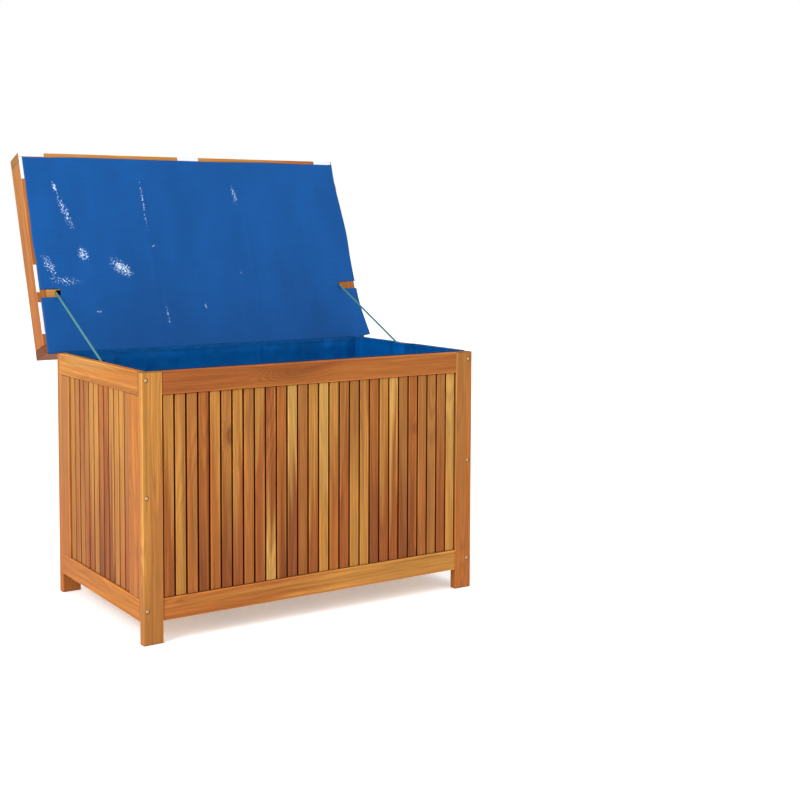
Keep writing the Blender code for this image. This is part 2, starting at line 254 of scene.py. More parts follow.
def wood_material(name, gap_shade=0.0, dim=1.0, highlight_and_wear=0.35):
    """Oiled acacia. It reads where each point lies in its own board, and that board's two tones.

    gap_shade paints shade onto the narrow side faces between slats, where little light gets in. The last
    argument lightens the edges: partly wear, partly a painted highlight where they catch the light.
    """
    paint = Paint(name)
    place = paint.attribute("place")
    seed = paint.attribute("seed", "Fac")
    offset = paint.joined(seed, paint.times(seed, 0.37), paint.times(seed, 0.61))
    along, across, through = paint.parts(place)
    half = paint.parts(paint.attribute("half"))
    pull = knot_pull(paint, along, across)

    def field(where, stretch, spread, detail=2.0, roughness=0.5):
        """Noise drawn out along the grain: changes a metre along it, and across it."""
        vector = paint.moved(paint.scaled(where, (stretch, spread, spread)), offset)
        return paint.noise(vector, 1.0, detail, roughness)

    wander = paint.times(paint.minus(field(place, 2.6, 9.0), 0.5), 0.016)
    wander = paint.plus(wander, paint.times(pull, 0.012))
    bent = paint.joined(along, paint.plus(across, wander), through)

    split = paint.minus(field(bent, 1.6, 60.0), paint.times(paint.math("DIVIDE", along, half[0]), 0.17))
    tone, streak = (paint.attribute(word, "Color") for word in ("tone", "streak"))
    colour = paint.mix(paint.step(split, 0.40, 0.60), tone, streak)

    fibres = field(bent, 14.0, 900.0, 3.0, 0.6)
    pores = paint.step(field(bent, 70.0, 1700.0, 1.0), 0.66, 0.74)
    cloud = field(place, 5.0, 16.0)
    rings = paint.plus(paint.times(field(bent, 2.4, 24.0, 1.0), 46.0), paint.times(pull, 26.0))
    rings = paint.math("POWER", paint.math("ABSOLUTE", paint.math("SINE", rings)), 3.0)
    figure = paint.times(rings, paint.step(cloud, 0.42, 0.62, 0.04, 0.20))
    broad = paint.step(field(bent, 1.6, 95.0, 3.0, 0.6), 0.25, 0.75, 0.84, 1.13)
    medium = paint.step(field(bent, 6.0, 260.0, 3.0, 0.65), 0.30, 0.70, 0.84, 1.12)
    fine = paint.step(fibres, 0.2, 0.8, 0.91, 1.08)
    blotch = paint.step(cloud, 0.3, 0.7, 0.92, 1.07)
    light = paint.times(paint.times(broad, fine), paint.times(blotch, medium))
    light = paint.times(light, paint.minus(1.0, figure))
    light = paint.times(paint.minus(light, paint.times(pores, 0.16)), dim)
    colour = paint.shaded(colour, light)
    heart = paint.step(field(bent, 0.9, 120.0, 2.0, 0.55), 0.64, 0.74, 0.0, 0.55)
    colour = paint.mix(paint.math("MAXIMUM", heart, paint.times(pull, 0.32)), colour, DARK_HEART)

    at = (along, across, through)
    gaps = [paint.minus(limit, paint.math("ABSOLUTE", value)) for value, limit in zip(at, half)]
    colour, end_grain = edge_tones_and_painted_light(paint, colour, gaps, gap_shade, highlight_and_wear)
    speckle = field(place, 500.0, 500.0)
    height = paint.plus(paint.times(fibres, 0.7), paint.times(rings, -0.25))
    height = paint.minus(height, paint.times(pores, 0.6))
    height = paint.plus(height, paint.times(paint.times(speckle, end_grain), 1.5))
    gloss = paint.step(fibres, 0.25, 0.75, 0.45, 0.60)
    paint.set(Base_Color=colour, Roughness=gloss, Specular_IOR_Level=0.08)
    paint.bump(height, 0.00022, 0.7)
    return paint.material


def sheet_material(name, blue, pale_specks=(), patchy=0.10, gloss=0.12, bright_end=None, rim=None):
    """Woven polyethylene sheet. Pale specks are (x, y, half length, half width, turn, strength) on the sheet:
    on the lid they are painted glints, light off the creased weave.

    On the bag, the wall before bright_end is painted lighter above a height, as painted light falling from
    the left, and painted crease shade lies raggedly along the edge at the height of rim.
    """
    paint = Paint(name)
    place = paint.attribute("place")
    x, y, _ = paint.parts(place)
    tape = math.pi / 0.0021
    warp, weft = (paint.math("SINE", paint.times(value, tape)) for value in (x, y))
    weave = paint.times(warp, weft)
    weft_lines = paint.noise(place, (14.0, 420.0, 420.0))
    warp_lines = paint.noise(place, (420.0, 10.0, 10.0))
    clouds = paint.noise(place, (9.0, 4.0, 6.0), 3.0)
    light = paint.step(weft_lines, 0.2, 0.8, 0.93, 1.07)
    light = paint.times(light, paint.step(warp_lines, 0.2, 0.8, 0.96, 1.04))
    light = paint.times(light, paint.step(clouds, 0.3, 0.7, 1.0 - patchy, 1.06))
    light = paint.plus(light, paint.times(weave, 0.05))
    colour = paint.shaded(blue, light)
    if rim:
        # Painted light: the bag's right end wall is painted up to 22% lighter, as it is lit more from the
        # left.
        lit_wall = paint.step(x, bright_end + 0.004, bright_end, 0.0, 0.22)
        lit_wall = paint.times(lit_wall, paint.step(y, 0.09, 0.12))
        # Painted shade: a ragged dark band just under the rim, for the shade in the creases there.
        ragged = paint.noise(place, (70.0, 260.0, 0.0), 3.0, 0.7)
        ragged = paint.step(ragged, 0.38, 0.60, 0.10, 0.42)
        crease_shade = paint.times(paint.step(y, rim - 0.012, rim), ragged)
        colour = paint.shaded(colour, paint.minus(paint.plus(1.0, lit_wall), crease_shade))
    cell = paint.node("VectorMath", {0: place, 1: (0.0016, 0.0016, 1.0)}, operation="SNAP").outputs[0]
    chance = paint.node("TexWhiteNoise", {"Vector": cell}, noise_dimensions="2D").outputs["Value"]
    clumps = paint.noise(place, (260.0, 260.0, 0.0), 3.0, 0.7)
    # Pale specks mixed into the colour; on the lid sheet these are painted glints.
    for speck_x, speck_y, long, wide, turn, strength in pale_specks:
        aside = paint.moved(place, (-speck_x, -speck_y, 0.0))
        inputs = {"Vector": aside, "Axis": (0.0, 0.0, 1.0), "Angle": -turn}
        aside = paint.node("VectorRotate", inputs).outputs[0]
        distance = paint.length(paint.scaled(aside, (1 / long, 1 / wide, 0.0)))
        near = paint.step(distance, 1.0, 0.0, 0.0, 0.72 * strength)
        near = paint.times(near, paint.step(clumps, 0.22, 0.62))
        highlight_and_wear = paint.step(paint.minus(near, chance), 0.0, 0.35)
        colour = paint.mix(highlight_and_wear, colour, linear(205, 222, 244))
    paint.set(Base_Color=colour, Roughness=0.5, Specular_IOR_Level=gloss)
    paint.bump(paint.plus(paint.times(weave, 0.5), weft_lines), 0.00025, 0.6)
    return paint.material


def tape_material():
    """White hook-and-loop tape: a felt of short loops."""
    paint = Paint("white_tape")
    where = paint.node("TexCoord", {}).outputs["Object"]
    loops = paint.noise(where, 1500.0, 3.0, 0.7)
    pile = paint.noise(where, 260.0)
    colour = paint.shaded(WHITE_TAPE, paint.step(loops, 0.25, 0.75, 0.90, 1.03))
    colour = paint.shaded(colour, paint.step(pile, 0.3, 0.7, 0.95, 1.02))
    paint.set(Base_Color=colour, Roughness=0.92, Sheen_Weight=0.3, Specular_IOR_Level=0.2)
    paint.bump(loops, 0.0006, 0.8)
    return paint.material


def cord_material():
    """Braided polypropylene: glossy fibres that run with the strand each point belongs to."""
    paint = Paint("green_braid")
    strand = paint.attribute("strand", "Fac")
    fibre = paint.attribute("fibre", "Fac")
    fibres = paint.noise(paint.joined(paint.times(fibre, 30.0), strand, 0.0))
    colour = paint.mix(strand, linear(8, 58, 56), linear(84, 160, 150))
    colour = paint.shaded(colour, paint.step(fibres, 0.2, 0.8, 0.82, 1.12))
    paint.set(Base_Color=colour, Roughness=0.5, Specular_IOR_Level=0.4, Sheen_Weight=0.1)
    paint.bump(fibres, 0.0001, 0.6)
    return paint.material


def metal_material():
    """Bright zinc plate, lightly brushed and spotted."""
    paint = Paint("zinc_plate")
    where = paint.node("TexCoord", {}).outputs["Object"]
    brushed = paint.noise(where, (90.0, 900.0, 900.0), 3.0)
    spots = paint.noise(where, 320.0, 3.0, 0.65)
    colour = paint.mix(paint.step(spots, 0.5, 0.75), linear(200, 168, 126), linear(142, 112, 80))
    paint.set(Base_Color=colour, Metallic=1.0, Specular_IOR_Level=0.5)
    paint.set(Roughness=paint.step(brushed, 0.2, 0.8, 0.26, 0.44))
    paint.bump(brushed, 0.00006, 0.5)
    return paint.material


def softwood_material():
    paint = Paint("raw_pine")
    place = paint.attribute("place")
    seed = paint.attribute("seed", "Fac")
    offset = paint.joined(seed, seed, seed)
    bands = paint.noise(paint.moved(paint.scaled(place, (1.5, 60.0, 60.0)), offset))
    rings = paint.math("ABSOLUTE", paint.math("SINE", paint.times(bands, 60.0)))
    fibres = paint.noise(paint.moved(paint.scaled(place, (20.0, 1100.0, 1100.0)), offset), 1.0, 3.0)
    colour = paint.mix(rings, linear(205, 166, 112), linear(176, 130, 78))
    colour = paint.shaded(colour, paint.step(fibres, 0.2, 0.8, 0.88, 1.08))
    paint.set(Base_Color=colour, Roughness=0.72, Specular_IOR_Level=0.3)
    paint.bump(fibres, 0.0004, 0.7)
    return paint.material


def cushion_material():
    """Plain woven polyester: fine threads over a soft, slightly mottled cream."""
    paint = Paint("cream_polyester")
    where = paint.node("TexCoord", {}).outputs["Object"]
    x, y, z = paint.parts(where)
    thread = math.pi / 0.00065
    flat = paint.times(paint.plus(x, z), thread)
    deep = paint.times(paint.minus(y, z), thread)
    weave = paint.times(paint.math("SINE", flat), paint.math("SINE", deep))
    slubs = paint.noise(where, (60.0, 900.0, 900.0))
    mottle = paint.noise(where, 16.0, 3.0)
    colour = paint.shaded(CREAM, paint.step(mottle, 0.3, 0.7, 0.95, 1.02))
    colour = paint.shaded(colour, paint.step(slubs, 0.2, 0.8, 0.96, 1.03))
    colour = paint.shaded(colour, paint.plus(0.99, paint.times(weave, 0.03)))
    paint.set(Base_Color=colour, Roughness=0.88, Sheen_Weight=0.25, Specular_IOR_Level=0.2)
    paint.bump(paint.plus(weave, slubs), 0.00018, 0.7)
    return paint.material


# ---- mesh helpers


def add_object(name, data):
    made = bpy.data.objects.new(name, data)
    bpy.context.scene.collection.objects.link(made)
    return made


def make_object(name, points, faces, material, smooth=True):
    data = bpy.data.meshes.new(name)
    data.from_pydata([tuple(point) for point in points], [], [tuple(face) for face in faces])
    data.materials.append(material)
    data.polygons.foreach_set("use_smooth", [smooth] * len(data.polygons))
    return add_object(name, data)


def add_attribute(data, name, values):
    """Writes one number, vector or colour a vertex."""
    values = np.asarray(values, np.float32)
    kinds = {1: ("FLOAT", "value"), 3: ("FLOAT_VECTOR", "vector"), 4: ("FLOAT_COLOR", "color")}
    kind, key = kinds[values[0].size]
    data.attributes.new(name, kind, "POINT").data.foreach_set(key, values.ravel())


def place_piece(piece, body, slot, *stands_for):
    """Turns a finished mesh into the open pose and ties it to its body."""
    piece.data.transform(TURNS[body])
    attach(piece, body)
    if stands_for:
        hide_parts(*stands_for)


def modify(piece, kind, **settings):
    step = piece.modifiers.new(kind.lower(), kind)
    for name, value in settings.items():
        setattr(step, name, value)


def applied(piece):
    """Puts the piece's modifiers into its mesh."""
    graph = bpy.context.evaluated_depsgraph_get()
    solid = piece.evaluated_get(graph)
    data = bpy.data.meshes.new_from_object(solid, preserve_all_data_layers=True, depsgraph=graph)
    piece.modifiers.clear()
    piece.data = data


def block(size):
    """A box round the origin."""
    made = bmesh.new()
    bmesh.ops.create_cube(made, size=1.0)
    bmesh.ops.scale(made, vec=Vector(size), verts=made.verts)
    return made


def rounded_block(size, radius, segments=2):
    """Points and faces of a box round the origin, with its edges rounded."""
    made = block(size)
    edges = list(made.edges)
    bmesh.ops.bevel(made, geom=edges, offset=radius, segments=segments, profile=0.5, affect="EDGES")
    points = np.array([vertex.co for vertex in made.verts])
    faces = [[vertex.index for vertex in face.verts] for face in made.faces]
    made.free()
    return points, faces


def ring_faces(rings, around, closed=False):
    """Quads between each ring of points and the next, and from the last to the first if closed."""
    faces = []
    for i in range(rings if closed else rings - 1):
        a, b = i * around, (i + 1) % rings * around
        for j in range(around):
            k = (j + 1) % around
            faces.append((a + j, a + k, b + k, b + j))
    return faces


def grid_quad(row, column, columns):
    a = row * (columns + 1) + column
    return (a, a + columns + 1, a + columns + 2, a + 1)


def turned(profile, segments):
    """Points and faces of a profile of (radius, height) turned round Z, closed below and open above."""
    angles = [2 * math.pi * j / segments for j in range(segments)]
    points = [(r * math.cos(a), r * math.sin(a), z) for r, z in profile for a in angles]
    return points, [tuple(reversed(range(segments))), *ring_faces(len(profile), segments)]


def facing(direction, centre):
    """Moves a shape that stands along +Z to the centre, to stand along the direction."""
    turn = Vector((0, 0, 1)).rotation_difference(Vector(direction)).to_matrix().to_4x4()
    return Matrix.Translation(centre) @ turn


def as_cutter(made):
    """The bmesh as an object that other pieces are cut with."""
    data = bpy.data.meshes.new("cutter")
    made.to_mesh(data)
    made.free()
    return add_object("cutter", data)


def drill(centre, axis, radius, length):
    made = bmesh.new()
    bmesh.ops.create_cone(made, cap_ends=True, segments=32, radius1=radius, radius2=radius, depth=length)
    bmesh.ops.transform(made, matrix=facing(axis, centre), verts=made.verts)
    return as_cutter(made)


def cut(piece, helpers):
    for helper in helpers:
        modify(piece, "BOOLEAN", operation="DIFFERENCE", object=helper, solver="EXACT")
    applied(piece)
    for helper in helpers:
        bpy.data.objects.remove(helper, do_unlink=True)


# ---- boards


NO_KNOT = (0.0, 0.0, 0.0)


class Boards:
    """Rounded boards gathered into one mesh, with what the wood material needs to know of each."""

    def __init__(self, name):
        self.name = name
        self.random = random.Random(name)
        self.points, self.faces, self.rows = [], [], []
        self.count = 0

    def add(self, low, high, along, tones, radius=0.0009, knot=NO_KNOT):
        """tones is two letters of WOOD_TONES: the board's own and the streaks in it."""
        points, faces = rounded_block(high - low, radius)
        self.faces += [[index + self.count for index in face] for face in faces]
        self.count += len(points)
        self.points.append(points + (low + high) / 2)
        self.rows.append((low, high, along, tones, self.random.uniform(0.0, 90.0), knot))

    def tag(self, data):
        """Writes the boards' attributes. A mesh that has been cut must hold one board only."""
        points = np.array([vertex.co for vertex in data.vertices])
        counts = [len(points)] if len(self.rows) == 1 else [len(chunk) for chunk in self.points]
        tagged, start = [], 0
        for (low, high, along, tones, seed, knot), count in zip(self.rows, counts):
            size = high - low
            order = [along, *sorted((i for i in (X, Y, Z) if i != along), key=lambda i: -size[i])]
            own = points[start : start + count] - (low + high) / 2
            same = (size[order] / 2, WOOD_TONES[tones[0]], WOOD_TONES[tones[1]], seed, knot)
            tagged.append((own[:, order], *(np.tile(value, (count, 1)) for value in same)))
            start += count
        for name, values in zip(("place", "half", "tone", "streak", "seed", "knot"), zip(*tagged)):
            add_attribute(data, name, np.concatenate(values))

    def make(self, material, slot, node, cutters=()):
        piece = make_object(self.name, np.concatenate(self.points), self.faces, material)
        if cutters:
            cut(piece, cutters)
        self.tag(piece.data)
        modify(piece, "WEIGHTED_NORMAL", keep_sharp=True)
        place_piece(piece, body_of(node), slot, node)


def plain_board(node, along, tones, material, slot="acacia_frame", cutters=(), knot=NO_KNOT):
    """One board where a CAD node is."""
    boards = Boards(f"{node}_board")
    boards.add(*local_box(node), along, tones, knot=knot)
    boards.make(material, slot, node, cutters)


# ---- camera, light

CAMERA_PLACE = (-1.24336, -2.29154, 0.72022)
CAMERA_YAW = 0.5522
CAMERA_DIP = 0.06557
CAMERA_LENS = 57.88
CAMERA_SHIFT = (0.11, -0.1125)
FLOOR_HALF = 15.0


def make_camera():
    camera = bpy.data.cameras.new("camera")
    camera.lens = CAMERA_LENS
    camera.shift_x, camera.shift_y = CAMERA_SHIFT
    camera.clip_start = 0.05
    camera.clip_end = 60.0
    made = add_object("camera", camera)
    made.location = CAMERA_PLACE
    made.rotation_euler = (math.pi / 2 - CAMERA_DIP, 0.0, -CAMERA_YAW)
    bpy.context.scene.camera = made


def area_light(name, place, target, size, power):
    light = bpy.data.lights.new(name, "AREA")
    light.shape = "DISK"
    light.size = size
    light.energy = power
    made = add_object(name, light)
    made.location = place
    made.rotation_euler = (Vector(target) - Vector(place)).to_track_quat("-Z", "Y").to_euler()


def make_studio():
    """A pale floor under a white sky, brighter from the left."""
    scene = bpy.context.scene
    scene.view_settings.view_transform = "Standard"
    world = bpy.data.worlds.new("studio")
    scene.world = world
    world.use_nodes = True
    background = world.node_tree.nodes["Background"]
    background.inputs["Color"].default_value = (1.0, 1.0, 1.0, 1.0)
    paint = Paint("studio_floor")
    grain = paint.noise(paint.node("TexCoord", {}).outputs["Object"], 40.0, 3.0)
    pale = paint.shaded(linear(253, 253, 253), paint.step(grain, 0.3, 0.7, 0.99, 1.0))
    paint.set(Base_Color=pale, Roughness=0.9, Emission_Color=pale, Emission_Strength=0.28)
    corners = [(x * FLOOR_HALF, y * FLOOR_HALF, 0) for x, y in ((-1, -1), (1, -1), (1, 1), (-1, 1))]
    floor = make_object("studio_floor", corners, [(0, 1, 2, 3)], paint.material)
    floor.location.z = -0.0005
    area_light("left_softbox", (-2.6, -1.0, 1.9), (0.0, 0.0, 0.3), 1.6, 60.0)
    area_light("front_fill", (0.9, -3.0, 2.2), (0.0, 0.0, 0.35), 2.0, 10.0)


# ---- cords

CORD_DIAMETER = 0.004
CORD_STEPS = 14
CORD_INTO_HOLE = 0.007
CORD_OFF_BATTEN = 0.0006
BRAID_PITCH = 0.011
BRAID_SPACING = 0.0006
EYE_RADIUS = 0.0042
EYE_STEPS = 28


def cord_x(side):
    low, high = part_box(f"cord_{side}")
    return (low.x + high.x) / 2


def cord_route(side):
    """From the screw under the rim straight up to the hole in the lid's batten."""
    x = cord_x(side)
    anchor = middle_of(f"cord_anchor_{side}")
    foot = Vector((x, anchor[Y], anchor[Z]))
    batten_low, _ = local_box("lid_cord_batten")
    head = LID_TURN @ Vector((x, middle_of("lid_cord_batten")[Y], batten_low[Z] - CORD_OFF_BATTEN))
    head += (head - foot).normalized() * CORD_INTO_HOLE
    return [foot.lerp(head, step / CORD_STEPS) for step in range(CORD_STEPS + 1)]


def braided_tube(name, route, radius, material, closed=False):
    """A round tube along the route, with two crossing sets of strands standing out of it."""
    ring = 24
    path = []
    for a, b in zip(route, route[1:] + route[:1] if closed else route[1:]):
        steps = max(1, round((b - a).length / BRAID_SPACING))
        path += [a.lerp(b, i / steps) for i in range(steps)]
    if not closed:
        path.append(route[-1])
    points, strands, fibres = [], [], []
    count, total = len(path), 0.0
    for i, centre in enumerate(path):
        before = path[i - 1] if (i or closed) else centre
        after = path[(i + 1) % count] if (i < count - 1 or closed) else centre
        along = (after - before).normalized()
        side = along.cross(Vector((1, 0, 0)) if abs(along.x) < 0.9 else Vector((0, 0, 1))).normalized()
        up = along.cross(side)
        total += (centre - path[i - 1]).length if i else 0.0
        turn = 2 * math.pi * total / BRAID_PITCH
        end_fade = 1.0 if closed else min(1.0, 0.55 + 0.12 * min(i, count - 1 - i))
        for j in range(ring):
            angle = 2 * math.pi * j / ring
            first = math.cos(4 * angle + turn * 4)
            second = math.cos(4 * angle - turn * 4)
            over = math.tanh(2.5 * math.cos(4 * angle) * math.cos(turn * 4))
            height = max(first, second) * 0.07 + 0.04 * over
            reach = radius * (0.93 + height) * end_fade
            points.append(centre + side * math.cos(angle) * reach + up * math.sin(angle) * reach)
            strands.append(0.5 + 0.5 * math.tanh(3 * (first - second)))
            fibres.append(angle + (turn if first > second else -turn))
    faces = ring_faces(count, ring, closed)
    if not closed:
        faces += [tuple(reversed(range(ring))), tuple((count - 1) * ring + j for j in range(ring))]
    piece = make_object(name, points, faces, material)
    add_attribute(piece.data, "strand", strands)
    add_attribute(piece.data, "fibre", fibres)
    return piece


def make_cord(side, material):
    """The braided cord, and the eye that its lower end makes round the screw."""
    route = cord_route(side)
    foot, head = route[0], route[-1]
    cord = braided_tube(f"lid_cord_{side}", route, CORD_DIAMETER / 2, material)
    eye_centre = foot + Vector((0.0, -0.002, -EYE_RADIUS * 0.4))
    turns = (Matrix.Rotation(2 * math.pi * i / EYE_STEPS, 3, "X") for i in range(EYE_STEPS))
    circle = [eye_centre + turn @ Vector((0.0, EYE_RADIUS, 0.0)) for turn in turns]
    eye = braided_tube(f"cord_eye_{side}", circle, CORD_DIAMETER * 0.42, material, closed=True)
    place_piece(eye, "box", "green_cord")
    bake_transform(cord)
    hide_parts(f"cord_{side}")


# ---- body boards

FRAME_TONES = {
    "post_front_left": "ht", "post_front_right": "to", "post_rear_left": "to", "post_rear_right": "ht",
    "front_top_rail": "or", "front_bottom_rail": "ho", "rear_top_rail": "tr", "rear_bottom_rail": "ot",
    "left_top_rail": "ha", "left_bottom_rail": "oa", "right_top_rail": "ot", "right_bottom_rail": "to",
    "left_front_stile": "ao", "left_rear_stile": "to", "right_front_stile": "ot", "right_rear_stile": "ht",
    # The lid's rear rail gets the darkest tones as painted shade: that face points down into shadow when the
    # lid stands open.
    "lid_front_rail": "oh", "lid_rear_rail": "bb", "lid_left_rail": "ot", "lid_right_rail": "to",
    "lid_front_batten": "ot",
}
PINE_BOARDS = {"ledger_front": X, "ledger_rear": X, **{f"floor_board_{n}": Y for n in range(1, 5)}}

FRONT_TONES = "hr th to ob ho tb hr to hr ry ob yb tr hr yh ho tr th th ob hr yr tb ob to tt tr yh"
LEFT_TONES = "tr ho ht hb ob ob ht hr tr rt to ht"
REAR_TONES = "to yb th hr ob tr yh ho tb rt hr to yr th ob hr tt ry ho tb yh tr to ob hr th yb tr"
RIGHT_TONES = "ht ob tr yh to hb th ry ho tb hr to"
LID_TONES = "to hr yb th ob tr ho yh tb hr to ry th ob yr tt hr ho tb yh tr th ob to hr yb ho tr th tb yh to"

SLAT_THICK = 0.009
SLAT_GAP = 0.0003
CLEAT_HEIGHT = 0.020
CLEAT_INSET = 0.05
SLAT_PITCH_WIDTH = 0.0195
SLAT_WIDTH = 0.0190
KNOTS = {
    "front_slats": {5: (0.095, 0.002, 1.0), 23: (0.075, -0.001, 0.9)},
    "front_top_rail": (-0.05, 0.012, 3.2),
}
SCREW_HEIGHTS = ("bottom", "middle", "top")
CORD_HOLE_INWARD = (0.0026, 0.0056, 0.0086)


def grain_axis(node):
    """The axis that a frame board's grain runs along."""
    if node.startswith("post") or node.endswith("stile"):
        return Z
    return Y if "left" in node or "right" in node else X


def make_posts_and_rails(wood):
    for node, tones in FRAME_TONES.items():
        cutters = []
        if node.startswith("post_front"):
            side = node.rpartition("_")[2]
            for height in SCREW_HEIGHTS:
                centre = middle_of(f"screw_{side}_{height}")
                seat = Vector((centre[X], local_box(node)[0][Y], centre[Z]))
                cutters.append(drill(seat, (0, 1, 0), 0.0041, 0.0042))
        plain_board(node, grain_axis(node), tones, wood, cutters=cutters, knot=KNOTS.get(node, NO_KNOT))


def make_cord_batten(wood):
    """The lid's rear batten, with a hole at each end that a cord comes out of."""
    node = "lid_cord_batten"
    low, _ = local_box(node)
    cutters = []
    for side, sign in SIDES:
        for inward in CORD_HOLE_INWARD:
            centre = (cord_x(side) - sign * inward, middle_of(node)[Y] - 0.0012, low[Z])
            cutters.append(drill(centre, (0, 0, 1), 0.0054, 0.044))
    plain_board(node, X, "oh", wood, cutters=cutters)


def slat_panel(node, across, along, outward, codes, wood):
    """Separate slats on two cleats. outward is +1 if the panel's outer face is on its high side."""
    low, high = local_box(node)
    low[across] -= SLAT_GAP
    high[across] += SLAT_GAP
    through = next(i for i in (X, Y, Z) if i not in (across, along))
    boards = Boards(f"{node}_set")
    codes = codes.split()
    gap = (high[across] - low[across] - len(codes) * SLAT_PITCH_WIDTH) / (len(codes) + 1)
    first = gap + (SLAT_PITCH_WIDTH - SLAT_WIDTH) / 2
    face = (high if outward > 0 else low)[through]

    def layer(axis, start, length, outer, inner):
        """The corners of a board from start along the axis, between two depths under the outer face."""
        a, b = low.copy(), high.copy()
        a[axis] = low[axis] + start
        b[axis] = a[axis] + length
        a[through], b[through] = sorted((face - outward * outer, face - outward * inner))
        return a, b

    for number, tones in enumerate(codes):
        sink = boards.random.uniform(0.0, 0.0005)
        start = first + number * (SLAT_PITCH_WIDTH + gap)
        corners = layer(across, start, SLAT_WIDTH, sink, SLAT_THICK + sink)
        knot = KNOTS.get(node, {}).get(number, NO_KNOT)
        boards.add(*corners, along, tones, radius=0.0012, knot=knot)
    length = high[along] - low[along]
    for start in (CLEAT_INSET * length, (1 - CLEAT_INSET) * length - CLEAT_HEIGHT):
        corners = layer(along, start, CLEAT_HEIGHT, SLAT_THICK, high[through] - low[through])
        boards.add(*corners, across, "tb", radius=0.0006)
    boards.make(wood, "acacia_slats", node)


def make_panels(wood):
    slat_panel("front_slats", X, Z, -1, FRONT_TONES, wood)
    slat_panel("rear_slats", X, Z, 1, REAR_TONES, wood)
    slat_panel("left_slats", Y, Z, -1, LEFT_TONES, wood)
    slat_panel("right_slats", Y, Z, 1, RIGHT_TONES, wood)
    slat_panel("lid_slats", X, Y, 1, LID_TONES, wood)


# ---- hardware

HINGE_PLATE = 0.0012
HINGE_SCREW_IN = 0.009
HINGE_SCREW_SPACING = 0.022


def screw_head(name, radius, height, centre, out, body, material, spin, *stands_for):
    """A pan head with a cross recess, on a thin flange. out points out of the wood."""
    rings, segments = 7, 28
    profile = [(radius, 0.0), (radius, 0.25 * height)]
    for i in range(1, rings):
        angle = math.pi / 2 * i / rings
        profile.append((radius * math.cos(angle) * 0.97, height * (0.25 + 0.75 * math.sin(angle))))
    points, faces = turned(profile, segments)
    last, top = (len(profile) - 1) * segments, len(points)
    points.append((0.0, 0.0, height))
    faces += [(last + j, last + (j + 1) % segments, top) for j in range(segments)]
    piece = make_object(name, points, faces, material)
    arm, width, depth = radius * 1.1, radius * 0.26, height * 0.55
    cross = []
    for size in ((arm, width), (width, arm)):
        made = block((*size, depth * 2))
        bmesh.ops.translate(made, vec=(0, 0, height), verts=made.verts)
        cross.append(as_cutter(made))
    cut(piece, cross)
    piece.data.transform(Matrix.Rotation(spin, 4, "Z"))
    piece.data.transform(facing(out, centre))
    for polygon in piece.data.polygons:
        polygon.use_smooth = len(polygon.vertices) <= 4
    place_piece(piece, body, "zinc_hardware", *stands_for)


def make_hinge_screws(side, leaf, body, chance, metal):
    """Three screws in a row near the free edge of one hinge leaf."""
    low, high = local_box(f"hinge_{side}_{leaf}")
    if body == "lid":
        face, z = low[Y], high[Z] - HINGE_SCREW_IN
    else:
        face, z = local_box("rear_top_rail")[1][Y] + 0.0003, low[Z] + HINGE_SCREW_IN
    for number in (1, 2, 3):
        x = (low[X] + high[X]) / 2 + (number - 2) * HINGE_SCREW_SPACING
        name = f"hinge_{side}_{leaf}_screw_{number}"
        spin = chance.uniform(0.0, math.pi)
        screw_head(name, 0.0031, 0.0009, (x, face + HINGE_PLATE, z), (0, 1, 0), body, metal, spin)


def make_screws(metal):
    """The screws through the posts, and those that hold the hinge leaves."""
    chance = random.Random("screws")
    for side, _ in SIDES:
        for height in SCREW_HEIGHTS:
            node = f"screw_{side}_{height}"
            low, high = local_box(node)
            x, _, z = middle_of(node)
            radius = (high[X] - low[X]) / 2
            spin = chance.uniform(0.0, math.pi)
            front, rear = (x, high[Y], z), (x, local_box(f"post_rear_{side}")[1][Y], z)
            screw_head(f"{node}_head", radius, high[Y] - low[Y], front, (0, -1, 0), "box", metal, spin, node)
            screw_head(f"rear_{node}_head", radius, 0.0010, rear, (0, 1, 0), "box", metal, spin + 0.7)
        make_hinge_screws(side, "body_leaf", "box", chance, metal)
        make_hinge_screws(side, "lid_leaf", "lid", chance, metal)


def make_anchors(metal):
    """A washer under the rim, and the screw through the cord's eye."""
    segments = 32
    for side, sign in SIDES:
        node = f"cord_anchor_{side}"
        low, high = local_box(node)
        radius, thick = (high[Y] - low[Y]) / 2, high[X] - low[X]
        shape = ((1.0, 0.0), (1.0, 0.7), (0.94, 1.0), (0.35, 0.86))
        points, faces = turned([(radius * out, thick * up) for out, up in shape], segments)
        faces.append(tuple(range(len(points) - segments, len(points))))
        washer = make_object(f"cord_washer_{side}", points, faces, metal, smooth=False)
        centre = Vector(middle_of(node))
        centre.x = high[X] if sign > 0 else low[X]
        washer.data.transform(facing((-sign, 0, 0), centre))
        place_piece(washer, "box", "zinc_hardware", node)
        head_at = centre + Vector((-sign * (thick + 0.0026), 0.0, 0.0))
        screw_head(f"cord_screw_{side}", 0.0034, 0.0016, head_at, (-sign, 0, 0), "box", metal, 0.4)


# ---- sheets and bag

